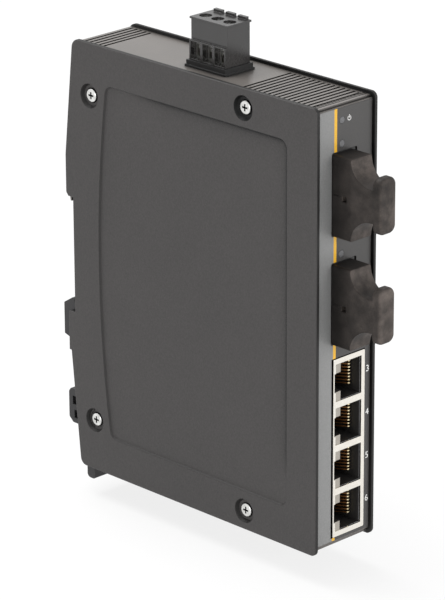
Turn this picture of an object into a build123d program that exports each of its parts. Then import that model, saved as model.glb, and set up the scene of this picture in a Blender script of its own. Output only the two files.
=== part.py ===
"""A narrow industrial ethernet switch that hangs on a 35 mm top-hat rail.

Millimetres. The origin is the middle of the rail seat: X runs across the case, with the
left cover at -X, -Y is the front with its sockets, and +Z is up. The rail lies along X.
"""
import os
from build123d import *

os.makedirs("parts", exist_ok=True)

# Case
case_width = 25.5
case_height = 140.0
case_depth = 105.0
cover_skin = 1.2
cover_step = 0.8
rim_height = 1.0
frame_wall = 1.8
seat_gap = 0.15
corner_radius = 2.0

# Rail and its seat
rail_width = 35.0
rail_centre_height = 71.0
rail_lip_slot = 1.3
rail_play = 0.1
seat_height = 29.0
seat_relief = 0.6

# Outline of the covers, from the rail plane
back_top = -1.2
hip_back = 2.8
hip_height = 31.0
foot_back = 2.6
foot_top = -20.2
foot_bottom = -33.4
heel_back = -1.9
hook_inset = 0.3
hook_rise = 2.1
hook_reach = 1.6
hook_tip = 0.6

# Cover screws
screw_front_depth = 30.0
screw_rear_margin = 8.7
screw_front_inset = 6.1
screw_rear_inset = 16.8
screw_shank_radius = 1.25
screw_head_radius = 2.2
screw_head_height = 1.5
screw_length = 13.0
screw_fit = 0.1
recess_mouth_radius = 3.9
recess_ring_radius = 3.3
recess_seat_radius = 2.35
recess_cone_depth = 1.3
recess_depth = 2.2
pillar_radius = 2.8
boss_length = 3.05
pilot_spare = 2.0
driver_width = 0.55
driver_depth = 0.9

# Studs that carry the circuit board
stud_radius = 2.5
stud_peg_radius = 1.0
stud_peg_play = 0.1
stud_front_depth = 45.0
stud_rear_inset = 4.5
stud_front_drop = 27.0
stud_rear_drop = 13.0
stud_front_rise = 13.0
stud_rear_rise = 31.0

# Sunk field on each cover
cover_edge_radius = 0.4
field_depth = 0.6
field_top_margin = 11.9
field_bottom_margin = 12.6
field_corner_radius = 3.0
field_front_margin = 12.0
field_back = -16.0
field_bulge = 4.2
field_draft = 35.0

# Grilles
slot_pitch = 2.0
slot_width = 0.9
slot_length = 21.0
front_slots = 15
rear_slots = 5
front_slot_start = 5.0
rear_slot_end = 3.9
ridge_depth = 0.35
ridge_width = 0.4
ridge_pitch = 0.9
ridges = 2

# Front panel and label
panel_skin = 0.8
panel_thickness = 2.4
panel_side_play = 0.1
panel_top_drop = 0.7
panel_bottom_rise = 1.2
label_thickness = 0.2
label_recess = 0.15
label_margin = 0.3

# Shielded sockets
port_pitch = 13.97
ports = 4
socket_floor_gap = 0.85
socket_left = -4.5
socket_height = 13.4
socket_block_length = 57.1
socket_depth = 21.5
socket_proud = 0.3
shield_sheet = 0.3
shield_face = 0.5
port_width = 11.9
port_left_wall = 1.0
port_right_wall = 1.4
latch_step = 2.5
latch_width = 6.0
latch_notch = 0.55
cavity_depth = 13.5
spring_tab_overlap = 0.3
spring_tab_set = 0.2
housing_fit = 0.025
floor_set = 0.15
socket_opening_gap = 0.25
socket_latch_gap = 0.65

# Socket contacts
contacts_per_port = 8
contact_pitch = 1.016
contact_width = 0.4
contact_thickness = 0.3
contact_bend_depth = 2.6
contact_tip_depth = 9.0
contact_reach = 4.4
contact_bend_radius = 0.6
contact_gap = 0.1

# Circuit board
board_left = 4.4
board_thickness = 1.6
board_front_margin = 4.0
board_back = -13.5
board_top_margin = 3.0
board_bottom_margin = 3.5
board_clearance = 0.5

# Fibre transceivers
fibre_socket_gap = 4.85
fibre_pitch = 33.8
fibre_width = 25.4
fibre_height = 9.8
fibre_length = 41.9
fibre_pole_pitch = 12.7
fibre_port_width = 9.2
fibre_port_height = 7.6
fibre_port_depth = 11.0
fibre_port_x = -0.9
fibre_opening_right = 0.7
fibre_opening_gap = 0.15
sleeve_radius = 2.2
sleeve_bore = 1.27
sleeve_length = 6.0

# Dust caps
cap_width = 8.8
cap_left = -5.5
cap_height = 25.0
cap_block = 7.4
cap_arc = 7.4
cap_neck = 0.75
cap_taper = 0.8
cap_edge_radius = 0.6
cap_grip_width = 7.2
cap_grip_height = 17.2
cap_grip_thickness = 2.6
cap_grip_rounding = 1.1
cap_seat_gap = 0.1
cap_slot = 1.75
cap_slot_place = 4.9
cap_slot_depth = 2.0
cap_prong_length = 10.0
cap_prong_play = 0.2
cap_prong_bore = 2.8

# Light pipes
pipe_radius = 1.05
pipe_hole_radius = 1.15
pipe_length = 9.0
pipe_x = -1.3
power_pipe_drop = 5.8
link_pipe_rise = 2.25
pipe_diode_gap = 0.05
diode_size = 1.6
diode_thickness = 0.5

# Power terminal
pole_pitch = 5.08
poles = 3
plug_depth = 52.3
plug_left = -5.4
plug_width = 10.2
plug_top = 15.1
plug_lip = 0.35
plug_lip_thickness = 0.6
plug_shoulder = 8.2
plug_shoulder_inset = 0.9
plug_insertion = 6.5
castle_height = 0.8
castle_width = 3.4
castle_thickness = 1.2
entry_width = 4.0
entry_bottom = 2.4
entry_top = 7.8
screw_axis_x = -0.95

# Power header
header_play = 0.12
header_wall = 0.55
header_collar = 2.0
header_flange = 0.35
header_flange_thickness = 0.6
header_floor = 3.5
header_plug_gap = 1.0
pin_size = 1.0
pin_fit = 0.02
pin_board_fit = 0.05
pin_x = 1.3
pin_height = 7.0
pin_bend_drop = 15.5
pin_bend_radius = 0.9
pin_tail = 0.6

# Clamp cages, terminal screws and plug contacts
cage_width = 3.9
cage_length = 4.4
cage_height = 5.8
cage_bottom = 1.8
cage_window_width = 2.7
cage_window_bottom = 1.0
cage_window_height = 3.6
cage_travel = 2.0
cage_play = 0.15
clamp_screw_radius = 1.3
clamp_screw_fit = 0.06
clamp_head_radius = 1.8
clamp_head_height = 1.5
clamp_head_play = 0.15
clamp_head_sunk = 0.9
clamp_slot_width = 0.6
clamp_slot_depth = 0.7
bar_thickness = 0.9
bar_width = 2.2
bar_height = 5.2
bar_leg_x = 2.4
bar_leg_bottom = 5.0

# Rail latch and spring
latch_half_width = 11.2
latch_front = -5.2
latch_plate = 2.6
latch_gap = 0.2
beak_top = -16.3
beak_flat = 0.9
beak_back = 6.2
beak_ramp_bottom = -18.8
beak_bottom = -29.8
grip_block_back = 4.8
grip_block_top = -47.2
grip_block_bottom = -58.6
tab_bottom = 4.4
tab_thickness = 3.5
tab_step = 1.5
tab_rise = 4.5
tab_channel_rise = 6.0
channel_lobe_wall = 0.9
tab_slot_width = 6.5
tab_slot_height = 1.6
tab_slot_rise = 1.8
guide_rib_reach = 1.9
guide_rib_thickness = 0.85
guide_upper_top = -34.8
guide_upper_bottom = -46.0
guide_lower_rise = 4.0
guide_lower_length = 3.6
window_half_width = 3.0
window_top = -31.0
window_bottom = -46.1
shelf_bottom = -46.0
shelf_thickness = 1.6
shelf_half_width = 2.6
shelf_depth = 4.4
spring_radius = 1.75
spring_wire = 0.25
spring_turns = 7
spring_peg_radius = 1.15
spring_peg_length = 1.5
spring_end_gap = 0.02
spring_boss_play = 0.2

# Parts on the board's left face
chip_size = 14.0
chip_thickness = 1.4
chip_depth = 60.0
chip_height = -6.0
transformer_width = 9.0
transformer_height = 14.0
transformer_thickness = 6.0
transformer_gap = 4.0
capacitor_radius = 4.0
capacitor_length = 11.5
capacitor_depth = 76.0
capacitor_drop = 23.0
capacitor_pitch = 11.0
coil_size = 10.0
coil_thickness = 4.8
coil_height = 28.0
crystal_length = 11.0
crystal_width = 4.5
crystal_thickness = 3.4
crystal_height = -24.0

# Places that follow from the sizes above
half_width = case_width / 2
inner_x = half_width - cover_skin
plate_x = inner_x - cover_step
front = -case_depth
bottom = -rail_centre_height
top = case_height - rail_centre_height
frame_top = top - rim_height
frame_bottom = bottom + rim_height
field_top = top - field_top_margin
field_bottom = bottom + field_bottom_margin
tab_top = bottom + tab_rise
guide_lower_bottom = bottom + guide_lower_rise
guide_lower_top = guide_lower_bottom + guide_lower_length
plug_middle = front + plug_depth
pin_bend_height = frame_top - pin_bend_drop
board_top = frame_top - board_top_margin
board_bottom = frame_bottom + board_bottom_margin
spring_y = latch_front + spring_radius + spring_wire
panel_front = front + rim_height
frame_front = panel_front + panel_skin
panel_back = panel_front + panel_thickness
rail_half = rail_width / 2
wall_back = -seat_relief
channel_back = latch_front - latch_gap
channel_top = beak_top + latch_gap / 2
channel_foot = tab_top + tab_channel_rise
tab_front = latch_front - tab_step
heel_wall = tab_front - latch_gap
hook_back = hip_back - hook_inset
board_right = board_left + board_thickness
cover_edge = wall_back / 2


def save(builder, name):
    """Label a finished piece and write it to its file."""
    builder.part.label = name
    export_step(builder.part, f"parts/{name}.step")


def frame_inner_points(start, gap=0.0):
    """Corners of the hollow inside the frame, in the YZ plane, from a front edge and less a gap."""
    wall = frame_wall + gap
    return [
        (start, frame_bottom + wall),
        (start, frame_top - wall),
        (back_top - rim_height - wall, frame_top - wall),
        (wall_back - wall, hip_height),
        (wall_back - wall, channel_top + wall),
        (channel_back - wall, channel_top + wall),
        (channel_back - wall, channel_foot),
        (heel_wall - wall, tab_top),
        (heel_wall - wall, frame_bottom + wall),
    ]


# Screw places on the covers, drawn in the YZ plane
screw_places = [
    (front + screw_front_depth, top - screw_front_inset),
    (front + screw_front_depth, bottom + screw_front_inset),
    (-screw_rear_margin, top - screw_rear_inset),
    (-screw_rear_margin, bottom + screw_rear_inset),
]


def cover_outline():
    """The side outline that both covers share, open round the rail."""
    points = [
        (front, bottom),
        (front, top),
        (back_top, top),
        (hip_back, hip_height),
        (hip_back, rail_half + rail_lip_slot),
        (hip_back - 1.0, rail_half + rail_play),
        (cover_edge, rail_half + rail_play),
        (cover_edge, foot_top),
        (foot_back, foot_top),
        (foot_back, foot_bottom),
        (foot_back - 0.9, foot_bottom),
        (heel_back, bottom),
    ]
    radii = [corner_radius, corner_radius, 3.0, 8.0, 0.8, 0, 0, 0, 0.8, 0, 0, 2.5]
    FilletPolyline(*points, radius=radii, close=True)


def cover_shell(side):
    """Skin, locating step, sunk field and latch guides of one cover; side is -1 or 1."""
    outer = side * half_width
    inner = side * inner_x
    with BuildPart() as shell:
        with BuildSketch(Plane.YZ.offset(outer)):
            with BuildLine():
                cover_outline()
            make_face()
        extrude(amount=-side * cover_skin)
        fillet(faces().sort_by(Axis.X)[0 if side < 0 else -1].edges(), cover_edge_radius)
        with BuildSketch(Plane.YZ.offset(inner)):
            with BuildLine():
                Polyline(*frame_inner_points(panel_back + seat_gap, seat_gap), close=True)
            make_face()
        extrude(amount=-side * cover_step)
        with BuildSketch(Plane.YZ.offset(outer)):
            with BuildLine():
                field_front = front + field_front_margin
                Line((field_back, field_top), (field_front, field_top))
                Line((field_front, field_top), (field_front, field_bottom))
                Line((field_front, field_bottom), (field_back, field_bottom))
                ThreePointArc(
                    (field_back, field_bottom),
                    (field_back + field_bulge, (field_top + field_bottom) / 2),
                    (field_back, field_top),
                )
            make_face()
            fillet(vertices(), field_corner_radius)
        extrude(amount=-side * field_depth, taper=field_draft, mode=Mode.SUBTRACT)
        for rib_top, rib_bottom in ((guide_upper_top, guide_upper_bottom), (guide_lower_top, guide_lower_bottom)):
            with BuildSketch(Plane.YZ.offset(inner)):
                with Locations((latch_front + latch_plate + latch_gap, rib_bottom)):
                    Rectangle(guide_rib_thickness, rib_top - rib_bottom, align=(Align.MIN, Align.MIN))
            extrude(amount=-side * guide_rib_reach)
    return shell.part


# Left cover: the screws sink into it, and its bosses meet the pillars of the right cover
recess_floor = half_width - recess_depth
boss_end = inner_x - boss_length
with BuildPart() as left_cover:
    add(cover_shell(-1))
    with BuildSketch(Plane.YZ.offset(-inner_x)):
        with Locations(*screw_places):
            Circle(pillar_radius)
    extrude(amount=boss_length)
    for place in screw_places:
        with BuildSketch(Plane.YZ.offset(-half_width)):
            with Locations(place):
                Circle(recess_mouth_radius)
        with BuildSketch(Plane.YZ.offset(-half_width + recess_cone_depth)):
            with Locations(place):
                Circle(recess_ring_radius)
        loft(mode=Mode.SUBTRACT)
    with BuildSketch(Plane.YZ.offset(-half_width)):
        with Locations(*screw_places):
            Circle(recess_seat_radius)
    extrude(amount=recess_depth, mode=Mode.SUBTRACT)
    with BuildSketch(Plane.YZ.offset(-half_width)):
        with Locations(*screw_places):
            Circle(screw_shank_radius + screw_fit)
    extrude(amount=half_width - boss_end, mode=Mode.SUBTRACT)
save(left_cover, "left_cover")

# Right cover: four pillars cross the case, and four studs carry the circuit board
stud_places = [
    (front + stud_front_depth, top - stud_front_drop),
    (board_back - stud_rear_inset, top - stud_rear_drop),
    (front + stud_front_depth, bottom + stud_front_rise),
    (board_back - stud_rear_inset, bottom + stud_rear_rise),
]
pilot_depth = screw_length - (recess_floor - boss_end) + pilot_spare
with BuildPart() as right_cover:
    add(cover_shell(1))
    with BuildSketch(Plane.YZ.offset(inner_x)):
        with Locations(*screw_places):
            Circle(pillar_radius)
    extrude(amount=-(inner_x + boss_end))
    with BuildSketch(Plane.YZ.offset(-boss_end)):
        with Locations(*screw_places):
            Circle(screw_shank_radius + screw_fit)
    extrude(amount=pilot_depth, mode=Mode.SUBTRACT)
    with BuildSketch(Plane.YZ.offset(plate_x)):
        with Locations(*stud_places):
            Circle(stud_radius)
    extrude(amount=-(plate_x - board_right))
    with BuildSketch(Plane.YZ.offset(board_right)):
        with Locations(*stud_places):
            Circle(stud_peg_radius)
    extrude(amount=-board_thickness)
save(right_cover, "right_cover")

# Cover screws: pan heads with a cross recess, four alike
with BuildPart() as cover_screws:
    with BuildSketch(Plane.YZ.offset(-recess_floor)):
        with Locations(*screw_places):
            Circle(screw_shank_radius)
    extrude(amount=screw_length)
    with BuildSketch(Plane.YZ.offset(-recess_floor)):
        with Locations(*screw_places):
            Circle(screw_head_radius)
    extrude(amount=-screw_head_height)
    fillet(faces().sort_by(Axis.X)[:4].edges(), 0.5)
    with BuildSketch(Plane.YZ.offset(-recess_floor - screw_head_height)):
        with Locations(*screw_places):
            Rectangle(screw_head_radius, driver_width)
            Rectangle(driver_width, screw_head_radius)
    extrude(amount=driver_depth, taper=8, mode=Mode.SUBTRACT)
save(cover_screws, "cover_screws")

# Centre frame: roof and floor with their grilles, the rear wall, the rail hook and the latch channel
header_width = plug_width + 2 * (header_play + header_wall)
header_length = poles * pole_pitch + 2 * (header_play + header_wall)
header_middle_x = plug_left + plug_width / 2
shelf_top = shelf_bottom + shelf_thickness
with BuildPart() as centre_frame:
    with BuildSketch(Plane.YZ):
        with BuildLine():
            Polyline(
                (frame_front, frame_bottom),
                (frame_front, frame_top),
                (back_top - rim_height, frame_top),
                (hook_back, hip_height),
                (hook_back, rail_half + hook_rise),
                (rail_lip_slot + hook_tip, rail_half - hook_reach),
                (rail_lip_slot, rail_half - hook_reach),
                (rail_lip_slot, rail_half + rail_play),
                (wall_back, rail_half + rail_play),
                (wall_back, seat_height / 2),
                (0, seat_height / 2),
                (0, -seat_height / 2),
                (wall_back, -seat_height / 2),
                (wall_back, channel_top),
                (channel_back, channel_top),
                (channel_back, channel_foot),
                (heel_wall, tab_top),
                (heel_wall, frame_bottom),
                close=True,
            )
        make_face()
        with BuildLine():
            Polyline(*frame_inner_points(frame_front), close=True)
        make_face(mode=Mode.SUBTRACT)
    extrude(amount=inner_x, both=True)
    with BuildSketch(Plane.YZ):
        with Locations(screw_places[-1]):
            Circle(pillar_radius + seat_gap + channel_lobe_wall)
    extrude(amount=plate_x - seat_gap, both=True)
    with BuildSketch(Plane.YZ):
        with Locations(*screw_places):
            Circle(pillar_radius + seat_gap)
    extrude(amount=inner_x, both=True, mode=Mode.SUBTRACT)
    with BuildSketch(Plane.YZ):
        with Locations((channel_back, channel_foot)):
            Rectangle(frame_wall, channel_top - channel_foot, align=(Align.MIN, Align.MIN))
    extrude(amount=plate_x, both=True, mode=Mode.SUBTRACT)
    slot_start = front + front_slot_start
    with BuildSketch(Plane.XY.offset(frame_top)):
        with Locations(*[(0, slot_start + slot_pitch * n) for n in range(front_slots)]):
            Rectangle(slot_length, slot_width)
        with Locations(*[(0, -rear_slot_end - slot_pitch * n) for n in range(rear_slots)]):
            Rectangle(slot_length, slot_width)
        with Locations((header_middle_x, plug_middle)):
            Rectangle(header_width + 2 * seat_gap, header_length + 2 * seat_gap)
    extrude(amount=-frame_wall, mode=Mode.SUBTRACT)
    with BuildSketch(Plane.XY.offset(frame_bottom)):
        with Locations(*[(0, slot_start + slot_pitch * n) for n in range(front_slots)]):
            Rectangle(slot_length, slot_width)
    extrude(amount=frame_wall, mode=Mode.SUBTRACT)
    with BuildSketch(Plane.XY.offset(frame_top)):
        with Locations(*[(0, slot_start - ridge_pitch * (n + 1)) for n in range(ridges)]):
            Rectangle(2 * inner_x, ridge_width)
    extrude(amount=-ridge_depth, mode=Mode.SUBTRACT)
    with BuildSketch(Plane.XY.offset(shelf_bottom)):
        with Locations((0, channel_back)):
            Rectangle(2 * shelf_half_width, shelf_depth, align=(Align.CENTER, Align.MIN))
    extrude(amount=shelf_thickness)
    with BuildSketch(Plane.XY.offset(shelf_top)):
        with Locations((0, spring_y)):
            Circle(spring_peg_radius)
    extrude(amount=spring_peg_length)
save(centre_frame, "centre_frame")

# Front panel: a skin in front of the frame and a step that fits inside it
socket_right = socket_left + socket_height
socket_middle = frame_bottom + frame_wall + socket_floor_gap + socket_block_length / 2
port_places = [socket_middle + port_pitch * (n - (ports - 1) / 2) for n in range(ports)]
fibre_middle = socket_middle + socket_block_length / 2 + fibre_socket_gap + fibre_width / 2
fibre_places = [fibre_middle + fibre_pitch, fibre_middle]
fibre_left = board_left - fibre_height
link_pipe_places = [z + fibre_width / 2 + link_pipe_rise for z in fibre_places]
pipe_heights = [top - power_pipe_drop] + link_pipe_places


def front_openings(pipe_hole):
    """The openings that the panel and its label share, on a sketch seen from the front."""
    socket_x0 = socket_left - socket_latch_gap
    socket_x1 = socket_right + socket_opening_gap
    with Locations(((socket_x0 + socket_x1) / 2, socket_middle)):
        Rectangle(socket_x1 - socket_x0, socket_block_length + 2 * socket_opening_gap, mode=Mode.SUBTRACT)
    fibre_x0 = fibre_left - fibre_opening_gap
    fibre_x1 = board_left + fibre_opening_right
    with Locations(*[((fibre_x0 + fibre_x1) / 2, z) for z in fibre_places]):
        RectangleRounded(fibre_x1 - fibre_x0, fibre_width + 2 * fibre_opening_gap, 0.5, mode=Mode.SUBTRACT)
    with Locations(*[(pipe_x, z) for z in pipe_heights]):
        Circle(pipe_hole, mode=Mode.SUBTRACT)


panel_top = frame_top - panel_top_drop
panel_bottom = frame_bottom + panel_bottom_rise
panel_half = inner_x - panel_side_play
label_top = panel_top - label_margin
label_bottom = panel_bottom + label_margin
label_half = panel_half - label_margin
facing = Plane((0, panel_front, 0), x_dir=(1, 0, 0), z_dir=(0, -1, 0))
with BuildPart() as front_panel:
    with BuildSketch(facing):
        with Locations((0, (panel_top + panel_bottom) / 2)):
            Rectangle(2 * panel_half, panel_top - panel_bottom)
        front_openings(pipe_hole_radius)
    extrude(amount=-panel_skin)
    with BuildSketch(facing.offset(-panel_skin)):
        with Locations((0, (frame_top + frame_bottom) / 2)):
            Rectangle(2 * panel_half, frame_top - frame_bottom - 2 * (frame_wall + seat_gap))
        front_openings(pipe_hole_radius)
    extrude(amount=-(panel_thickness - panel_skin))
    with BuildSketch(facing):
        with Locations((0, (label_top + label_bottom) / 2)):
            Rectangle(2 * label_half + 0.1, label_top - label_bottom + 0.1)
    extrude(amount=-label_recess, mode=Mode.SUBTRACT)
save(front_panel, "front_panel")

# Front label: a printed foil in the panel's shallow recess
label_face = panel_front + label_recess - label_thickness
with BuildPart() as front_label:
    with BuildSketch(facing.offset(-label_recess)):
        with Locations((0, (label_top + label_bottom) / 2)):
            Rectangle(2 * label_half, label_top - label_bottom)
        front_openings(pipe_hole_radius)
    extrude(amount=label_thickness)
save(front_label, "front_label")

# Socket shield: one folded nickel shell round all four sockets, with a latch notch in each
shield_front = panel_front - socket_proud
shield_back = shield_front + socket_depth
cavity_left = socket_left + port_left_wall
cavity_right = socket_right - port_right_wall
step_x = cavity_left + latch_step
socket_facing = Plane((0, shield_front, 0), x_dir=(1, 0, 0), z_dir=(0, -1, 0))
with BuildPart() as socket_shield:
    with BuildSketch(socket_facing):
        with Locations(((socket_left + socket_right) / 2, socket_middle)):
            Rectangle(socket_height, socket_block_length)
    extrude(amount=-socket_depth)
    fillet(edges().filter_by(Axis.Y), 0.4)
    with BuildSketch(socket_facing.offset(-shield_face)):
        with Locations(((socket_left + socket_right) / 2, socket_middle)):
            Rectangle(socket_height - 2 * shield_sheet, socket_block_length - 2 * shield_sheet)
    extrude(amount=-(socket_depth - shield_face - shield_sheet), mode=Mode.SUBTRACT)
    with BuildSketch(socket_facing):
        for z in port_places:
            with Locations((cavity_left, z)):
                Rectangle(cavity_right - cavity_left, port_width, align=(Align.MIN, Align.CENTER))
            with Locations((cavity_left - latch_notch, z)):
                Rectangle(2 * latch_notch, latch_width, align=(Align.MIN, Align.CENTER))
    extrude(amount=-shield_face, mode=Mode.SUBTRACT)
    tab_width = (port_width - latch_width) / 2 + spring_tab_overlap
    with BuildSketch(socket_facing.offset(spring_tab_set - shield_face)):
        for z in port_places:
            for way in (-1, 1):
                with Locations((cavity_left - spring_tab_set, z + way * (latch_width + tab_width) / 2)):
                    Rectangle(latch_step, tab_width, align=(Align.MIN, Align.CENTER))
    extrude(amount=-shield_sheet)
save(socket_shield, "socket_shield")

# Socket housing: one moulding with four stepped cavities
housing_front = shield_front + shield_face + shield_sheet
housing_plane = Plane((0, housing_front, 0), x_dir=(1, 0, 0), z_dir=(0, -1, 0))
cavity_back = shield_front + cavity_depth
contact_floor = cavity_right - floor_set
with BuildPart() as socket_housing:
    with BuildSketch(housing_plane):
        with Locations(((socket_left + socket_right) / 2, socket_middle)):
            Rectangle(
                socket_height - 2 * (shield_sheet + housing_fit),
                socket_block_length - 2 * (shield_sheet + housing_fit),
            )
    extrude(amount=-(shield_back - shield_sheet - housing_front - housing_fit))
    with BuildSketch(housing_plane):
        for z in port_places:
            with Locations((step_x, z)):
                Rectangle(contact_floor - step_x, port_width - floor_set, align=(Align.MIN, Align.CENTER))
            with Locations((cavity_left - latch_notch, z)):
                Rectangle(latch_step + 2 * latch_notch, latch_width, align=(Align.MIN, Align.CENTER))
    extrude(amount=-(cavity_back - housing_front), mode=Mode.SUBTRACT)
save(socket_housing, "socket_housing")

# Socket contacts: eight bent gold wires to a socket, one set for each
contact_root = contact_floor - contact_gap - contact_thickness / 2
for number, z_port in enumerate(port_places):
    with BuildPart() as socket_contacts:
        for n in range(contacts_per_port):
            z_wire = z_port + contact_pitch * (n - (contacts_per_port - 1) / 2)
            with BuildSketch(Plane.XY.offset(z_wire)) as wire:
                with BuildLine() as path:
                    FilletPolyline(
                        (contact_root, cavity_back),
                        (contact_root, shield_front + contact_bend_depth),
                        (contact_root - contact_reach, shield_front + contact_tip_depth),
                        radius=contact_bend_radius,
                    )
                trace(line_width=contact_thickness)
            extrude(amount=contact_width / 2, both=True)
    save(socket_contacts, f"socket_contacts_{ports + 2 - number}")

# Circuit board: cut back round the sockets, the power header and the front pillars
board_front = front + board_front_margin
socket_bay_top = socket_middle + socket_block_length / 2 + board_clearance
plug_bottom = frame_top - plug_insertion
header_floor_top = plug_bottom - header_plug_gap
header_bottom = header_floor_top - header_floor
pole_places = [plug_middle + pole_pitch * (n - (poles - 1) / 2) for n in range(poles)]
with BuildPart() as circuit_board:
    with BuildSketch(Plane.YZ.offset(board_left)):
        with Locations((board_front, board_bottom)):
            Rectangle(board_back - board_front, board_top - board_bottom, align=(Align.MIN, Align.MIN))
        with Locations((board_front, board_bottom)):
            Rectangle(
                shield_back + board_clearance - board_front,
                socket_bay_top - board_bottom,
                align=(Align.MIN, Align.MIN),
                mode=Mode.SUBTRACT,
            )
        with Locations((plug_middle, header_bottom - board_clearance)):
            Rectangle(
                header_length + 2 * board_clearance,
                board_top,
                align=(Align.CENTER, Align.MIN),
                mode=Mode.SUBTRACT,
            )
        with Locations(*screw_places[:2]):
            Circle(pillar_radius + board_clearance, mode=Mode.SUBTRACT)
        with Locations(*stud_places):
            Circle(stud_peg_radius + stud_peg_play, mode=Mode.SUBTRACT)
        with Locations(*[(y, pin_bend_height) for y in pole_places]):
            Rectangle(pin_size + 2 * pin_board_fit, pin_size + 2 * pin_board_fit, mode=Mode.SUBTRACT)
    extrude(amount=board_thickness)
save(circuit_board, "circuit_board")

# Fibre transceivers, with two square ports each, and the sleeves in those ports
fibre_front = panel_front + 0.1
fibre_plane = Plane((0, fibre_front, 0), x_dir=(1, 0, 0), z_dir=(0, -1, 0))
port_floor = fibre_front + fibre_port_depth
sleeve_plane = Plane((0, port_floor, 0), x_dir=(1, 0, 0), z_dir=(0, -1, 0))
for number, z_fibre in enumerate(fibre_places):
    pair = [(fibre_port_x, z_fibre + fibre_pole_pitch / 2), (fibre_port_x, z_fibre - fibre_pole_pitch / 2)]
    with BuildPart() as fibre_transceiver:
        with BuildSketch(fibre_plane):
            with Locations((board_left, z_fibre)):
                Rectangle(fibre_height, fibre_width, align=(Align.MAX, Align.CENTER))
        extrude(amount=-fibre_length)
        chamfer(faces().sort_by(Axis.Y)[-1].edges(), 0.6)
        with BuildSketch(fibre_plane):
            with Locations(*pair):
                Rectangle(fibre_port_height, fibre_port_width)
        extrude(amount=-fibre_port_depth, mode=Mode.SUBTRACT)
    save(fibre_transceiver, f"fibre_transceiver_{number + 1}")
    with BuildPart() as fibre_sleeves:
        with BuildSketch(sleeve_plane):
            with Locations(*pair):
                Circle(sleeve_radius)
                Circle(sleeve_bore, mode=Mode.SUBTRACT)
        extrude(amount=sleeve_length)
    save(fibre_sleeves, f"fibre_sleeves_{number + 1}")

# Dust caps: a block, a waisted neck, a rounded grip and two hollow prongs
cap_back = label_face - cap_seat_gap
block_front = cap_back - cap_block
neck_half = cap_height / 2 - cap_arc
grip_back = block_front - cap_arc - cap_neck
cap_middle_x = cap_left + cap_width / 2
for number, z_cap in enumerate(fibre_places):
    with BuildPart() as dust_cap:
        with BuildSketch(Plane.YZ.offset(cap_left)):
            with BuildLine():
                Line((cap_back, z_cap - cap_height / 2), (cap_back, z_cap + cap_height / 2))
                Line((cap_back, z_cap + cap_height / 2), (block_front, z_cap + cap_height / 2))
                upper = RadiusArc(
                    (block_front, z_cap + cap_height / 2),
                    (block_front - cap_arc, z_cap + neck_half),
                    cap_arc,
                )
                Line(upper @ 1, (grip_back, z_cap + neck_half))
                Line((grip_back, z_cap + neck_half), (grip_back, z_cap - neck_half))
                Line((grip_back, z_cap - neck_half), (block_front - cap_arc, z_cap - neck_half))
                RadiusArc(
                    (block_front - cap_arc, z_cap - neck_half),
                    (block_front, z_cap - cap_height / 2),
                    cap_arc,
                )
                Line((block_front, z_cap - cap_height / 2), (cap_back, z_cap - cap_height / 2))
            make_face()
        extrude(amount=cap_width)
        fillet(edges().filter_by(Axis.Y).sort_by(SortBy.LENGTH)[-4:], cap_edge_radius)
        with BuildSketch(Plane.XY.offset(z_cap)):
            with BuildLine():
                Polyline(
                    (cap_middle_x - cap_width / 2, cap_back),
                    (cap_middle_x - cap_width / 2, block_front),
                    (cap_middle_x - cap_width / 2 + cap_taper, grip_back),
                    (cap_middle_x + cap_width / 2 - cap_taper, grip_back),
                    (cap_middle_x + cap_width / 2, block_front),
                    (cap_middle_x + cap_width / 2, cap_back),
                    close=True,
                )
            make_face()
        extrude(amount=cap_height, both=True, mode=Mode.INTERSECT)
        with BuildSketch(Plane((0, grip_back, 0), x_dir=(1, 0, 0), z_dir=(0, -1, 0))):
            with Locations((cap_middle_x, z_cap)):
                RectangleRounded(cap_grip_width, cap_grip_height, cap_grip_width * 0.35)
        extrude(amount=cap_grip_thickness)
        fillet(faces().sort_by(Axis.Y)[0].edges(), cap_grip_rounding)
        with BuildSketch(Plane((0, cap_back, 0), x_dir=(1, 0, 0), z_dir=(0, 1, 0))):
            with Locations(
                (fibre_port_x, -z_cap + fibre_pole_pitch / 2),
                (fibre_port_x, -z_cap - fibre_pole_pitch / 2),
            ):
                Rectangle(fibre_port_height - 2 * cap_prong_play, fibre_port_width - 2 * cap_prong_play)
        extrude(amount=cap_prong_length)
        with BuildSketch(Plane((0, cap_back + cap_prong_length, 0), x_dir=(1, 0, 0), z_dir=(0, 1, 0))):
            with Locations(
                (fibre_port_x, -z_cap + fibre_pole_pitch / 2),
                (fibre_port_x, -z_cap - fibre_pole_pitch / 2),
            ):
                Circle(cap_prong_bore)
        extrude(amount=-cap_prong_length, mode=Mode.SUBTRACT)
        with BuildSketch(Plane.YZ.offset(cap_left)):
            with Locations((cap_back - cap_slot_place, z_cap)):
                Rectangle(cap_slot, cap_slot)
        extrude(amount=cap_slot_depth, mode=Mode.SUBTRACT)
    save(dust_cap, f"dust_cap_{number + 1}")

# Light pipes: a rod behind the label and a leg to the diode on the board
pipe_back = label_face + pipe_length
diode_face = board_left - diode_thickness
for name, z_pipe in zip(("power", "link_1", "link_2"), pipe_heights):
    with BuildPart() as light_pipe:
        with BuildSketch(Plane((0, label_face, 0), x_dir=(1, 0, 0), z_dir=(0, -1, 0))):
            with Locations((pipe_x, z_pipe)):
                Circle(pipe_radius)
        extrude(amount=-pipe_length)
        with BuildSketch(Plane.YZ.offset(pipe_x - pipe_radius)):
            with Locations((pipe_back, z_pipe)):
                Rectangle(2 * pipe_radius, 2 * pipe_radius)
        extrude(amount=diode_face - pipe_diode_gap - pipe_x + pipe_radius)
    save(light_pipe, f"light_pipe_{name}")

with BuildPart() as board_diodes:
    with BuildSketch(Plane.YZ.offset(board_left)):
        with Locations(*[(pipe_back, z) for z in pipe_heights]):
            Rectangle(diode_size, diode_size)
    extrude(amount=-diode_thickness)
save(board_diodes, "board_diodes")

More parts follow.
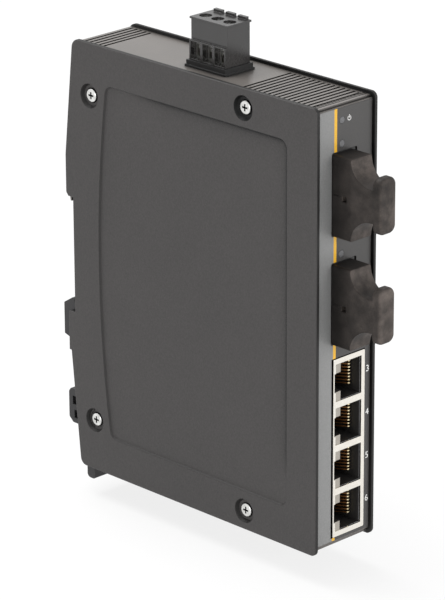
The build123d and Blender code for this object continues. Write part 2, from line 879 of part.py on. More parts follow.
# Power header: a shrouded base with a flange that sits on the roof of the frame
pin_middle_x = pin_x + pin_size / 2
with BuildPart() as power_header:
    with BuildSketch(Plane.XY.offset(header_bottom)):
        with Locations((header_middle_x, plug_middle)):
            Rectangle(header_width, header_length)
    extrude(amount=frame_top + header_collar - header_bottom)
    with BuildSketch(Plane.XY.offset(frame_top)):
        with Locations((header_middle_x, plug_middle)):
            Rectangle(header_width + 2 * header_flange, header_length + 2 * header_flange)
    extrude(amount=header_flange_thickness)
    with BuildSketch(Plane.XY.offset(header_floor_top)):
        with Locations((header_middle_x, plug_middle)):
            Rectangle(header_width - 2 * header_wall, header_length - 2 * header_wall)
    extrude(amount=frame_top + header_collar - header_floor_top, mode=Mode.SUBTRACT)
    with BuildSketch(Plane.XY.offset(header_bottom)):
        with Locations(*[(pin_middle_x, y) for y in pole_places]):
            Rectangle(pin_size + 2 * pin_fit, pin_size + 2 * pin_fit)
    extrude(amount=header_floor, mode=Mode.SUBTRACT)
save(power_header, "power_header")

# Header pins: square pins that stand in the header and bend over into the board
with BuildPart() as header_pins:
    for y in pole_places:
        with BuildSketch(Plane.XZ.offset(-y)):
            with BuildLine():
                FilletPolyline(
                    (pin_middle_x, plug_bottom + pin_height),
                    (pin_middle_x, pin_bend_height),
                    (board_right + pin_tail, pin_bend_height),
                    radius=pin_bend_radius,
                )
            trace(line_width=pin_size)
        extrude(amount=pin_size / 2, both=True)
save(header_pins, "header_pins")

# Terminal plug: a stepped housing with a wire entry, a cage chamber and a screw well to each pole
plug_right = plug_left + plug_width
plug_length = poles * pole_pitch
shoulder_z = frame_top + plug_shoulder
plug_top_z = frame_top + plug_top
upper_width = plug_width - plug_shoulder_inset
chamber_left = screw_axis_x - cage_length / 2 - cage_play
chamber_bottom = frame_top + cage_bottom - cage_play
chamber_top = frame_top + cage_bottom + cage_height + cage_travel + cage_play
head_top_z = plug_top_z - clamp_head_sunk
head_seat_z = head_top_z - clamp_head_height
bar_z = frame_top + bar_height
bar_right = bar_leg_x + bar_thickness
with BuildPart() as terminal_plug:
    with BuildSketch(Plane.XY.offset(plug_bottom)):
        with Locations((plug_left, plug_middle)):
            Rectangle(plug_width, plug_length, align=(Align.MIN, Align.CENTER))
    extrude(amount=shoulder_z - plug_bottom)
    chamfer(faces().sort_by(Axis.Z)[0].edges(), 0.4)
    with BuildSketch(Plane.XY.offset(shoulder_z)):
        with Locations((plug_right, plug_middle)):
            Rectangle(upper_width, plug_length, align=(Align.MAX, Align.CENTER))
    extrude(amount=plug_top_z - shoulder_z)
    with BuildSketch(Plane.XY.offset(plug_top_z - plug_lip_thickness)):
        with Locations((plug_right + plug_lip, plug_middle)):
            Rectangle(upper_width + 2 * plug_lip, plug_length + 2 * plug_lip, align=(Align.MAX, Align.CENTER))
    extrude(amount=plug_lip_thickness)
    with BuildSketch(Plane.XY.offset(plug_top_z)):
        with Locations(*[(plug_right + plug_lip, y) for y in pole_places]):
            Rectangle(castle_thickness, castle_width, align=(Align.MAX, Align.CENTER))
    extrude(amount=castle_height)
    with BuildSketch(Plane.XY.offset(chamber_bottom)):
        with Locations(*[(screw_axis_x, y) for y in pole_places]):
            Rectangle(cage_length + 2 * cage_play, cage_width + 2 * cage_play)
    extrude(amount=chamber_top - chamber_bottom, mode=Mode.SUBTRACT)
    with BuildSketch(Plane.XY.offset(head_seat_z)):
        with Locations(*[(screw_axis_x, y) for y in pole_places]):
            Circle(clamp_head_radius + clamp_head_play)
    extrude(amount=plug_top_z - head_seat_z, mode=Mode.SUBTRACT)
    with BuildSketch(Plane.XY.offset(chamber_top)):
        with Locations(*[(screw_axis_x, y) for y in pole_places]):
            Circle(clamp_screw_radius + clamp_screw_fit)
    extrude(amount=head_seat_z - chamber_top, mode=Mode.SUBTRACT)
    with BuildSketch(Plane.YZ.offset(plug_left)):
        with Locations(*[(y, frame_top + (entry_bottom + entry_top) / 2) for y in pole_places]):
            Rectangle(entry_width, entry_top - entry_bottom)
    extrude(amount=chamber_left - plug_left + 0.1, mode=Mode.SUBTRACT)
    with BuildSketch(Plane.XY.offset(plug_bottom)):
        with Locations(*[(pin_x - cage_play, y) for y in pole_places]):
            Rectangle(
                bar_right + 0.05 - pin_x + cage_play,
                bar_width + 0.1,
                align=(Align.MIN, Align.CENTER),
            )
    extrude(amount=bar_z + bar_thickness + 0.05 - plug_bottom, mode=Mode.SUBTRACT)
save(terminal_plug, "terminal_plug")

# Plug contacts: a bar through each cage and a leg beside the pin
with BuildPart() as plug_contacts:
    for y in pole_places:
        with BuildSketch(Plane.XZ.offset(-y)):
            with BuildLine():
                FilletPolyline(
                    (chamber_left + 0.3, bar_z + bar_thickness / 2),
                    (bar_right - bar_thickness / 2, bar_z + bar_thickness / 2),
                    (bar_right - bar_thickness / 2, frame_top - bar_leg_bottom),
                    radius=0.8,
                )
            trace(line_width=bar_thickness)
        extrude(amount=bar_width / 2, both=True)
save(plug_contacts, "plug_contacts")

# Clamp cages and the screws that raise them
cage_z = frame_top + cage_bottom
shank_end_z = bar_z + bar_thickness + cage_play
for number, y in enumerate(pole_places):
    with BuildPart() as clamp_cage:
        with BuildSketch(Plane.XY.offset(cage_z)):
            with Locations((screw_axis_x, y)):
                Rectangle(cage_length, cage_width)
        extrude(amount=cage_height)
        fillet(edges().filter_by(Axis.X), 0.5)
        with BuildSketch(Plane.YZ.offset(screw_axis_x)):
            with Locations((y, cage_z + cage_window_bottom)):
                Rectangle(cage_window_width, cage_window_height, align=(Align.CENTER, Align.MIN))
        extrude(amount=cage_length, both=True, mode=Mode.SUBTRACT)
        with BuildSketch(Plane.XY.offset(cage_z + cage_height)):
            with Locations((screw_axis_x, y)):
                Circle(clamp_screw_radius + clamp_screw_fit)
        extrude(amount=-cage_height / 2, mode=Mode.SUBTRACT)
    save(clamp_cage, f"clamp_cage_{number + 1}")
    with BuildPart() as terminal_screw:
        with BuildSketch(Plane.XY.offset(shank_end_z)):
            with Locations((screw_axis_x, y)):
                Circle(clamp_screw_radius)
        extrude(amount=head_seat_z - shank_end_z)
        chamfer(faces().sort_by(Axis.Z)[0].edges(), 0.25)
        with BuildSketch(Plane.XY.offset(head_seat_z)):
            with Locations((screw_axis_x, y)):
                Circle(clamp_head_radius)
        extrude(amount=clamp_head_height)
        chamfer(faces().sort_by(Axis.Z)[-1].edges(), 0.2)
        with BuildSketch(Plane.XY.offset(head_top_z)):
            with Locations((screw_axis_x, y)):
                Rectangle(clamp_slot_width, 2 * clamp_head_radius + 0.2, rotation=30 * number - 60)
        extrude(amount=-clamp_slot_depth, mode=Mode.SUBTRACT)
    save(terminal_screw, f"terminal_screw_{number + 1}")

# Rail latch: a slider with a beak under the rail, a grip block and a tab below the case
latch_back = latch_front + latch_plate
latch_shoulder = -rail_half - rail_play
beak_front = rail_lip_slot + 0.05
tab_back = tab_front + tab_thickness
tab_end = bottom - tab_bottom
spring_boss_back = spring_y + spring_radius + spring_wire + spring_boss_play
with BuildPart() as rail_latch:
    with BuildSketch(Plane.YZ):
        with BuildLine():
            FilletPolyline(
                (latch_front, latch_shoulder),
                (beak_front, latch_shoulder),
                (beak_front, beak_top),
                (beak_front + beak_flat, beak_top),
                (beak_back, beak_ramp_bottom),
                (beak_back, beak_bottom + 0.6),
                (beak_back - 2.0, beak_bottom),
                (latch_back, beak_bottom),
                (latch_back, grip_block_top),
                (grip_block_back - 0.8, grip_block_top),
                (grip_block_back, grip_block_top - 1.2),
                (grip_block_back, grip_block_bottom + 1.6),
                (grip_block_back - 1.8, grip_block_bottom),
                (latch_back, grip_block_bottom),
                (latch_back, tab_top + 1.5),
                (tab_back, tab_top),
                (tab_back, tab_end),
                (tab_front, tab_end),
                (tab_front, tab_top),
                (latch_front, tab_top + 1.5),
                radius=[0, 0, 0.3, 0.3, 0.5, 0.3, 0.5, 0.5, 0.5, 0.5, 0.5, 0.8, 0.8, 0.5, 0, 0, 1.4, 0.8, 0, 0],
                close=True,
            )
        make_face()
    extrude(amount=latch_half_width, both=True)
    with BuildSketch(Plane.XZ.offset(-latch_front)):
        with Locations((0, window_bottom)):
            Rectangle(2 * window_half_width, window_top - window_bottom, align=(Align.CENTER, Align.MIN))
    extrude(amount=-latch_plate, mode=Mode.SUBTRACT)
    with BuildSketch(Plane.XZ.offset(-latch_front)):
        with Locations((0, window_top)):
            Rectangle(2 * window_half_width, beak_bottom - window_top + 0.5, align=(Align.CENTER, Align.MIN))
    extrude(amount=-(spring_boss_back - latch_front))
    with BuildSketch(Plane.XY.offset(window_top)):
        with Locations((0, spring_y)):
            Circle(spring_peg_radius)
    extrude(amount=-spring_peg_length)
    with BuildSketch(Plane.XZ.offset(-tab_front)):
        with Locations((0, tab_end + tab_slot_rise)):
            Rectangle(tab_slot_width, tab_slot_height, align=(Align.CENTER, Align.MIN))
    extrude(amount=-tab_thickness, mode=Mode.SUBTRACT)
    with BuildSketch(Plane.YZ):
        with Locations((grip_block_back - 2.7, grip_block_top - 3.8), (grip_block_back - 3.4, grip_block_top - 8.4)):
            Rectangle(2.0, 2.8)
    extrude(amount=latch_half_width, both=True, mode=Mode.SUBTRACT)
save(rail_latch, "rail_latch")

# Latch spring: a coil between the frame's shelf and the top of the latch's window
spring_height = window_top - shelf_top - 2 * (spring_wire + spring_end_gap)
spring_start = shelf_top + spring_wire + spring_end_gap
with BuildPart() as latch_spring:
    with BuildLine() as coil:
        Helix(
            pitch=spring_height / spring_turns,
            height=spring_height,
            radius=spring_radius,
            center=(0, spring_y, spring_start),
        )
    with BuildSketch(Plane(origin=coil.line @ 0, z_dir=coil.line % 0)):
        Circle(spring_wire)
    sweep()
save(latch_spring, "latch_spring")

# Parts on the board's left face
with BuildPart() as switch_chip:
    with BuildSketch(Plane.YZ.offset(board_left)):
        with Locations((front + chip_depth, chip_height)):
            Rectangle(chip_size, chip_size)
    extrude(amount=-chip_thickness)
    chamfer(faces().sort_by(Axis.X)[0].edges(), 0.3)
save(switch_chip, "switch_chip")

transformer_y = shield_back + transformer_gap + transformer_width / 2
for number, way in enumerate((1, -1)):
    with BuildPart() as socket_transformer:
        with BuildSketch(Plane.YZ.offset(board_left)):
            with Locations((transformer_y, socket_middle + way * ports * port_pitch / 4)):
                Rectangle(transformer_width, transformer_height)
        extrude(amount=-transformer_thickness)
        chamfer(faces().sort_by(Axis.X)[0].edges(), 0.5)
    save(socket_transformer, f"socket_transformer_{number + 1}")

capacitor_top = top - capacitor_drop
with BuildPart() as storage_capacitors:
    with BuildSketch(Plane.YZ.offset(board_left)):
        with Locations(*[(front + capacitor_depth, capacitor_top - capacitor_pitch * n) for n in range(2)]):
            Circle(capacitor_radius)
    extrude(amount=-capacitor_length)
    fillet(faces().sort_by(Axis.X)[:2].edges(), 0.6)
save(storage_capacitors, "storage_capacitors")

with BuildPart() as converter_coil:
    with BuildSketch(Plane.YZ.offset(board_left)):
        with Locations((front + chip_depth, coil_height)):
            RectangleRounded(coil_size, coil_size, 1.5)
    extrude(amount=-coil_thickness)
save(converter_coil, "converter_coil")

with BuildPart() as clock_crystal:
    with BuildSketch(Plane.YZ.offset(board_left)):
        with Locations((front + chip_depth, crystal_height)):
            SlotOverall(crystal_length, crystal_width)
    extrude(amount=-crystal_thickness)
save(clock_crystal, "clock_crystal")
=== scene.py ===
import math

import bpy
from mathutils import Matrix, Vector


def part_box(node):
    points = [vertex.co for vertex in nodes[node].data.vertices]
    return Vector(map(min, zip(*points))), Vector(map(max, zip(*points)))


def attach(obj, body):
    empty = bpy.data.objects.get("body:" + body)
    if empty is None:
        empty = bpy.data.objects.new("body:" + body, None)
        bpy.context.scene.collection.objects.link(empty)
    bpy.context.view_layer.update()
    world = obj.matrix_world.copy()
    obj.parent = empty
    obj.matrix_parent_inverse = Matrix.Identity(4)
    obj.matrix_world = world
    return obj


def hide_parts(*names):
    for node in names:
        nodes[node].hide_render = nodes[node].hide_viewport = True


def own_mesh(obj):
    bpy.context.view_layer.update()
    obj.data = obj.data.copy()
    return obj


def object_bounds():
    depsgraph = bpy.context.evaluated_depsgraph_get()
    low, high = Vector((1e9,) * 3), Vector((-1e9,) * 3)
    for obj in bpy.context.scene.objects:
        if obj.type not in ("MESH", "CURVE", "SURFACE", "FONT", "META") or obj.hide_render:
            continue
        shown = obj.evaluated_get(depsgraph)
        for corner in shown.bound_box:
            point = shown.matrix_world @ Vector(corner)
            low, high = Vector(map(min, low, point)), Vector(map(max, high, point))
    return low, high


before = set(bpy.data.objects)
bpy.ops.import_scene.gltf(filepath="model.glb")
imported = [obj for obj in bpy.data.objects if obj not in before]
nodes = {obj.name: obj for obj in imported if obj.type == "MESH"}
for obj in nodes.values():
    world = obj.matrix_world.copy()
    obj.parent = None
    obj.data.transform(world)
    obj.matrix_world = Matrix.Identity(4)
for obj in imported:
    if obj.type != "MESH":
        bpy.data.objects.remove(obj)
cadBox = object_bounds()
print("frame loaded:", len(nodes), "nodes")

# camera, fitted to the corners of the case
cameraLook = {
    "place": (-0.75201, -0.81650, 0.39067),
    "yaw": 44.572,
    "pitch": 20.302,
    "roll": 0.266,
    "lens": 225.53,
    "sensor": 36,
    "farthest": 30,
}


def placeCamera(look):
    yaw, pitch, roll = (math.radians(look[k]) for k in ("yaw", "pitch", "roll"))
    ahead = Vector((math.sin(yaw) * math.cos(pitch), math.cos(yaw) * math.cos(pitch), -math.sin(pitch)))
    level = Vector((math.cos(yaw), -math.sin(yaw), 0))
    fall = ahead.cross(level)
    right = level * math.cos(roll) + fall * math.sin(roll)
    down = fall * math.cos(roll) - level * math.sin(roll)
    data = bpy.data.cameras.new("productCamera")
    data.lens = look["lens"]
    data.sensor_width = look["sensor"]
    data.clip_end = look["farthest"]
    camera = bpy.data.objects.new("productCamera", data)
    bpy.context.scene.collection.objects.link(camera)
    turned = Matrix((right, -down, -ahead)).transposed().to_4x4()
    camera.matrix_world = Matrix.Translation(look["place"]) @ turned
    bpy.context.scene.camera = camera


placeCamera(cameraLook)
print("camera placed")


# small helpers for the node trees
def startMaterial(name):
    material = bpy.data.materials.new(name)
    material.use_nodes = True
    tree = material.node_tree
    shader = tree.nodes["Principled BSDF"]
    return material, tree, shader


def addNode(tree, kind, **values):
    node = tree.nodes.new(kind)
    for key, value in values.items():
        setattr(node, key, value)
    return node


def objectSpace(tree, stretch=(1, 1, 1)):
    coords = addNode(tree, "ShaderNodeTexCoord")
    mapping = addNode(tree, "ShaderNodeMapping")
    mapping.inputs["Scale"].default_value = stretch
    tree.links.new(coords.outputs["Object"], mapping.inputs["Vector"])
    return mapping.outputs["Vector"]


def noise(tree, vector, scale, detail=3.0, rough=0.55):
    node = addNode(tree, "ShaderNodeTexNoise")
    node.inputs["Scale"].default_value = scale
    node.inputs["Detail"].default_value = detail
    node.inputs["Roughness"].default_value = rough
    tree.links.new(vector, node.inputs["Vector"])
    return node.outputs["Fac"]


def ramp(tree, factor, stops, mode="LINEAR"):
    stops = list(stops)
    node = addNode(tree, "ShaderNodeValToRGB")
    node.color_ramp.interpolation = mode
    elements = node.color_ramp.elements
    while len(elements) < len(stops):
        elements.new(0.5)
    for element, (place, colour) in zip(elements, stops):
        element.position = place
        element.color = (*colour, 1)
    tree.links.new(factor, node.inputs["Fac"])
    return node.outputs["Color"]


def spread(tree, factor, low, high, fromLow=0.0, fromHigh=1.0):
    node = addNode(tree, "ShaderNodeMapRange")
    for key, value in (("From Min", fromLow), ("From Max", fromHigh), ("To Min", low), ("To Max", high)):
        node.inputs[key].default_value = value
    tree.links.new(factor, node.inputs["Value"])
    return node.outputs["Result"]


def softEdge(tree, radius, samples=4):
    node = addNode(tree, "ShaderNodeBevel", samples=samples)
    node.inputs["Radius"].default_value = radius
    return node.outputs["Normal"]


def grainBump(tree, shader, height, strength, distance, edge):
    node = addNode(tree, "ShaderNodeBump")
    node.inputs["Strength"].default_value = strength
    node.inputs["Distance"].default_value = distance
    tree.links.new(height, node.inputs["Height"])
    if edge:
        tree.links.new(softEdge(tree, edge), node.inputs["Normal"])
    tree.links.new(node.outputs["Normal"], shader.inputs["Normal"])


def tinted(tree, base, tint, factor=None):
    # base colour times a tint; with a factor, only where the factor is 1
    mix = addNode(tree, "ShaderNodeMix", data_type="RGBA", blend_type="MULTIPLY")
    mix.inputs[0].default_value = 1.0
    if factor:
        tree.links.new(factor, mix.inputs[0])
    tree.links.new(base, mix.inputs[6])
    if isinstance(tint, tuple):
        mix.inputs[7].default_value = (*tint, 1)
    else:
        tree.links.new(tint, mix.inputs[7])
    return mix.outputs[2]


def combined(tree, operation, first, second):
    # one number from two; the second is a socket or a plain number
    node = addNode(tree, "ShaderNodeMath", operation=operation)
    tree.links.new(first, node.inputs[0])
    if isinstance(second, (int, float)):
        node.inputs[1].default_value = second
    else:
        tree.links.new(second, node.inputs[1])
    return node.outputs[0]


def larger(tree, first, second):
    return combined(tree, "MAXIMUM", first, second)


def faceDirection(tree):
    shape = addNode(tree, "ShaderNodeNewGeometry")
    split = addNode(tree, "ShaderNodeSeparateXYZ")
    tree.links.new(shape.outputs["Normal"], split.inputs[0])
    return split.outputs


def placeOnPiece(tree):
    split = addNode(tree, "ShaderNodeSeparateXYZ")
    tree.links.new(objectSpace(tree), split.inputs[0])
    return split.outputs


def shadedEdgeMask(tree, look):
    # 0 on a side cover's broad outer face, 1 on its narrow edges and inner faces, where shade is painted
    facing = combined(tree, "MULTIPLY", faceDirection(tree)["X"], look["outward"])
    return spread(tree, facing, 1, 0, *look["edgeTurn"])


def foldShade(tree, look, samples=8):
    # painted shade: darker in narrow slots and in the corners of a sunk panel; back and foot leave those
    # edges out
    hidden = addNode(tree, "ShaderNodeAmbientOcclusion", samples=samples)
    hidden.inputs["Distance"].default_value = look["reach"]
    shade = spread(tree, hidden.outputs["AO"], look["darkest"], 1, *look["open"])
    if "back" in look:
        place = placeOnPiece(tree)
        shade = larger(tree, shade, spread(tree, place["Y"], 0, 1, *look["back"]))
        shade = larger(tree, shade, spread(tree, place["Z"], 1, 0, *look["foot"]))
    return shade


def frontLightShare(tree, look):
    # painted light: up to 1 in patches on forward faces and, less, on the sides near the grip
    patches = spread(tree, noise(tree, objectSpace(tree), look["scale"]), look["least"], 1, *look["patches"])
    forward = spread(tree, faceDirection(tree)["Y"], 1, 0, *look["turned"])
    nearGrip = spread(tree, placeOnPiece(tree)["Y"], look["sideShare"], 0, *look["grip"])
    return combined(tree, "MULTIPLY", larger(tree, forward, nearGrip), patches)


# for all plastics and all metals: where the noise reaches the dark and light shade, and the bump's height
plasticGrain = {"share": 0.35, "shades": (0.2, 0.8), "broad": (0.25, 0.75), "height": 0.00012}
metalGrain = {"shades": (0.35, 0.65), "height": 0.00005}


def mouldedPlastic(name, look):
    # spark-eroded plastic: broad shade changes, a fine grain and slightly uneven gloss; where asked, painted
    # shade on edges and in folds and painted light on fronts
    material, tree, shader = startMaterial(name)
    space = objectSpace(tree)
    broad = noise(tree, space, look["patchScale"], 4)
    fine = noise(tree, space, look["grainScale"], 2)
    share = look.get("grainShare", plasticGrain["share"])
    patches = spread(tree, broad, 0, 1 - share, *plasticGrain["broad"])
    mixed = combined(tree, "ADD", combined(tree, "MULTIPLY", fine, share), patches)
    colour = ramp(tree, mixed, zip(plasticGrain["shades"], (look["dark"], look["light"])))
    # painted shade: a cover's narrow edges and inner faces are darkened by their direction
    if "paintedEdgeShade" in look:
        colour = tinted(tree, colour, look["paintedEdgeShade"], shadedEdgeMask(tree, look))
    # painted shade in slots, recesses and panel corners
    if "paintedFoldShade" in look:
        colour = tinted(tree, colour, foldShade(tree, look["paintedFoldShade"]))
    # painted light: the caps' forward faces and the sides near the grip are lightened
    if "paintedFrontLight" in look:
        colour = tinted(tree, colour, look["paintedFrontLight"]["tint"], frontLightShare(tree, look["paintedFrontLight"]))
    tree.links.new(colour, shader.inputs["Base Color"])
    tree.links.new(spread(tree, broad, *look["gloss"]), shader.inputs["Roughness"])
    shader.inputs["Specular IOR Level"].default_value = look.get("sheen", 0.4)
    grainBump(tree, shader, fine, look["grainDepth"], plasticGrain["height"], look.get("edge", 0))
    return material


def platedMetal(name, look):
    # plated sheet or wire: drawn streaks and tiny dark specks, with painted shade deeper in the case where
    # asked
    material, tree, shader = startMaterial(name)
    shader.inputs["Metallic"].default_value = 1.0
    streaks = noise(tree, objectSpace(tree, look["stretch"]), look["streakScale"], 3)
    specks = noise(tree, objectSpace(tree), look["speckScale"], 2)
    colour = ramp(tree, specks, zip(metalGrain["shades"], (look["dark"], look["light"])))
    # painted shade: darker the deeper a point lies in the socket
    if "insideShadeTint" in look:
        depth = spread(tree, placeOnPiece(tree)["Y"], 0, 1, *look["insideShadeDepth"])
        colour = tinted(tree, colour, look["insideShadeTint"], depth)
    # painted shade in recesses
    if "paintedFoldShade" in look:
        colour = tinted(tree, colour, foldShade(tree, look["paintedFoldShade"]))
    tree.links.new(colour, shader.inputs["Base Color"])
    tree.links.new(spread(tree, streaks, *look["gloss"]), shader.inputs["Roughness"])
    grainBump(tree, shader, streaks, look["depth"], metalGrain["height"], look.get("edge", 0))
    return material


# fronts and edges from which the shades below are measured
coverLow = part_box("left_cover")[0]
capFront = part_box("dust_cap_1")[0].y
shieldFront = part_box("socket_shield")[0].y
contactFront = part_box("socket_contacts_3")[0].y

coverLook = {
    "dark": (0.037, 0.0348, 0.0343), "light": (0.059, 0.0553, 0.0543), "patchScale": 38, "grainScale": 1700,
    "grainShare": 0.8, "grainDepth": 0.4, "gloss": (0.50, 0.58), "sheen": 0.35, "edge": 0.0004,
    # painted shade on the covers' edges and inner faces
    "paintedEdgeShade": (0.13, 0.125, 0.12), "edgeTurn": (0.35, 0.75),
    # painted shade along the sunk panel's top and front edges, left out at the back and foot
    "paintedFoldShade": {
        "reach": 0.006, "darkest": 0.0, "open": (0.92, 0.985),
        "back": (coverLow.y + 0.065, coverLow.y + 0.080), "foot": (coverLow.z + 0.021, coverLow.z + 0.031),
    },
}
plasticLooks = {
    "leftCoverPlastic": {**coverLook, "outward": -1},
    "rightCoverPlastic": {**coverLook, "outward": 1},
    "headerPlastic": {
        "dark": (0.009, 0.009, 0.009), "light": (0.016, 0.016, 0.016), "patchScale": 110, "grainScale": 2300,
        "grainDepth": 0.15, "gloss": (0.42, 0.52), "sheen": 0.35, "edge": 0.0002,
    },
    "framePlastic": {
        "dark": (0.112, 0.102, 0.094), "light": (0.148, 0.134, 0.123), "patchScale": 70, "grainScale": 1700,
        "grainDepth": 0.12, "gloss": (0.30, 0.38), "sheen": 0.55, "edge": 0.0003,
        # painted shade: the roof slots' gaps are darkened
        "paintedFoldShade": {"reach": 0.004, "darkest": 0.06, "open": (0.60, 0.92)},
    },
    "socketPlastic": {
        "dark": (0.018, 0.017, 0.016), "light": (0.030, 0.028, 0.027), "patchScale": 90, "grainScale": 2400,
        "grainDepth": 0.12, "gloss": (0.35, 0.5), "edge": 0.0001,
    },
    "blackPlastic": {
        "dark": (0.012, 0.012, 0.012), "light": (0.024, 0.023, 0.023), "patchScale": 120, "grainScale": 2200,
        "grainDepth": 0.15, "gloss": (0.4, 0.55), "edge": 0.00015,
    },
    "capPlastic": {
        "dark": (0.0068, 0.0060, 0.0056), "light": (0.0245, 0.0213, 0.0198), "patchScale": 85,
        "grainScale": 2600, "grainDepth": 0.14, "gloss": (0.42, 0.55), "sheen": 0.15, "edge": 0.0007,
        # painted light on the caps' forward faces, in patches
        "paintedFrontLight": {
            "tint": (4.6, 4.4, 4.2), "scale": 260, "least": 0.4, "patches": (0.38, 0.62),
            "turned": (-0.85, -0.15), "sideShare": 0.5, "grip": (capFront + 0.0083, capFront + 0.0158),
        },
    },
    "terminalPlastic": {
        "dark": (0.018, 0.0172, 0.017), "light": (0.028, 0.0265, 0.026), "patchScale": 110,
        "grainScale": 2300, "grainDepth": 0.1, "gloss": (0.20, 0.28), "sheen": 0.7, "edge": 0.0002,
    },
    "latchPlastic": {
        "dark": (0.016, 0.016, 0.017), "light": (0.028, 0.027, 0.028), "patchScale": 90, "grainScale": 2100,
        "grainDepth": 0.16, "gloss": (0.4, 0.5), "edge": 0.0003,
    },
    "ceramic": {
        "dark": (0.74, 0.73, 0.69), "light": (0.84, 0.83, 0.80), "patchScale": 160, "grainScale": 3200,
        "grainDepth": 0.05, "gloss": (0.14, 0.22), "sheen": 0.5,
    },
    "pipePlastic": {
        "dark": (0.085, 0.085, 0.088), "light": (0.125, 0.125, 0.130), "patchScale": 300, "grainScale": 2600,
        "grainDepth": 0.05, "gloss": (0.22, 0.32), "sheen": 0.5,
    },
    "boardMask": {
        "dark": (0.008, 0.055, 0.022), "light": (0.018, 0.105, 0.045), "patchScale": 420, "grainScale": 1500,
        "grainDepth": 0.12, "gloss": (0.22, 0.34), "sheen": 0.5,
    },
}
zincLook = {
    "dark": (0.62, 0.62, 0.60), "light": (0.80, 0.80, 0.78), "stretch": (1, 1, 1), "streakScale": 1500,
    "speckScale": 700, "gloss": (0.20, 0.34), "depth": 0.12, "edge": 0.00015,
}
metalLooks = {
    "zincPlate": zincLook,
    # a shaded copy of the zinc: painted shade in the cover screws' cross recesses
    "shadedScrewZinc": {**zincLook, "paintedFoldShade": {"reach": 0.0015, "darkest": 0.04, "open": (0.55, 0.92)}},
    "brightNickel": {
        "dark": (0.82, 0.78, 0.71), "light": (0.87, 0.84, 0.77), "stretch": (1, 1, 0.08), "streakScale": 1800,
        "speckScale": 900, "gloss": (0.18, 0.26), "depth": 0.04, "edge": 0.00015,
        # painted shade inside the sockets, behind the shield's front
        "insideShadeDepth": (shieldFront + 0.00015, shieldFront + 0.00035), "insideShadeTint": (0.34, 0.32, 0.30),
    },
    "goldFlash": {
        "dark": (0.95, 0.78, 0.46), "light": (1.0, 0.88, 0.60), "stretch": (1, 0.1, 1), "streakScale": 2500,
        "speckScale": 900, "gloss": (0.30, 0.40), "depth": 0.05,
        # painted shade on the contacts deeper in the socket
        "insideShadeDepth": (contactFront + 0.0001, contactFront + 0.0004), "insideShadeTint": (0.17, 0.09, 0.05),
    },
    "tinPlate": {
        "dark": (0.52, 0.51, 0.48), "light": (0.70, 0.69, 0.66), "stretch": (1, 1, 0.2), "streakScale": 1600,
        "speckScale": 800, "gloss": (0.26, 0.42), "depth": 0.1,
    },
    "springWire": {
        "dark": (0.30, 0.30, 0.30), "light": (0.45, 0.45, 0.44), "stretch": (1, 1, 1), "streakScale": 2600,
        "speckScale": 900, "gloss": (0.3, 0.42), "depth": 0.1,
    },
    "aluminiumCan": {
        "dark": (0.55, 0.55, 0.56), "light": (0.70, 0.70, 0.71), "stretch": (0.05, 1, 1), "streakScale": 1900,
        "speckScale": 600, "gloss": (0.24, 0.36), "depth": 0.08,
    },
}
finishes = {name: mouldedPlastic(name, look) for name, look in plasticLooks.items()}
finishes.update({name: platedMetal(name, look) for name, look in metalLooks.items()})

# the printed front label: a grey strip, a yellow line and a dark field, by width
labelLook = {
    "leftEdge": -0.0115, "rightEdge": 0.0115, "yellowStart": -0.0046, "yellowEnd": -0.00345,
    "strip": (0.205, 0.206, 0.204), "yellow": (0.74, 0.405, 0.019), "field": (0.048, 0.0458, 0.0448),
    "grainScale": 2400, "grainShades": (0.86, 1.0), "grainDepth": 0.08,
    "patchScale": 60, "gloss": (0.32, 0.42),
}
# where the noise reaches the print's darker and plain shade
printGrain = (0.3, 0.7)


def printedLabel(look):
    material, tree, shader = startMaterial("printedLabel")
    width = look["rightEdge"] - look["leftEdge"]
    across = spread(tree, placeOnPiece(tree)["X"], 0, 1, look["leftEdge"], look["rightEdge"])
    bands = ramp(tree, across, [
        (0.0, look["strip"]),
        ((look["yellowStart"] - look["leftEdge"]) / width, look["yellow"]),
        ((look["yellowEnd"] - look["leftEdge"]) / width, look["field"]),
    ], "CONSTANT")
    grain = noise(tree, objectSpace(tree), look["grainScale"], 2)
    shade = ramp(tree, grain, zip(printGrain, [(grey, grey, grey) for grey in look["grainShades"]]))
    tree.links.new(tinted(tree, bands, shade), shader.inputs["Base Color"])
    broad = noise(tree, objectSpace(tree), look["patchScale"])
    tree.links.new(spread(tree, broad, *look["gloss"]), shader.inputs["Roughness"])
    grainBump(tree, shader, grain, look["grainDepth"], metalGrain["height"], 0)
    return material


finishes["printedLabel"] = printedLabel(labelLook)

# which finish each CAD node takes
nodeFinish = {
    "leftCoverPlastic": ["left_cover"],
    "rightCoverPlastic": ["right_cover"],
    "headerPlastic": ["power_header"],
    "framePlastic": ["centre_frame", "front_panel"],
    "printedLabel": ["front_label"],
    "brightNickel": ["socket_shield"],
    "shadedScrewZinc": ["cover_screws"],
    "zincPlate": ["terminal_screw_1", "terminal_screw_2", "terminal_screw_3"],
    "goldFlash": ["socket_contacts_3", "socket_contacts_4", "socket_contacts_5", "socket_contacts_6"],
    "socketPlastic": ["socket_housing"],
    "boardMask": ["circuit_board"],
    "blackPlastic": [
        "fibre_transceiver_1", "fibre_transceiver_2", "switch_chip", "socket_transformer_1",
        "socket_transformer_2", "converter_coil",
    ],
    "ceramic": ["fibre_sleeves_1", "fibre_sleeves_2", "board_diodes"],
    "capPlastic": ["dust_cap_1", "dust_cap_2"],
    "pipePlastic": ["light_pipe_power", "light_pipe_link_1", "light_pipe_link_2"],
    "terminalPlastic": ["terminal_plug"],
    "tinPlate": ["header_pins", "plug_contacts", "clamp_cage_1", "clamp_cage_2", "clamp_cage_3"],
    "latchPlastic": ["rail_latch"],
    "springWire": ["latch_spring"],
    "aluminiumCan": ["storage_capacitors", "clock_crystal"],
}
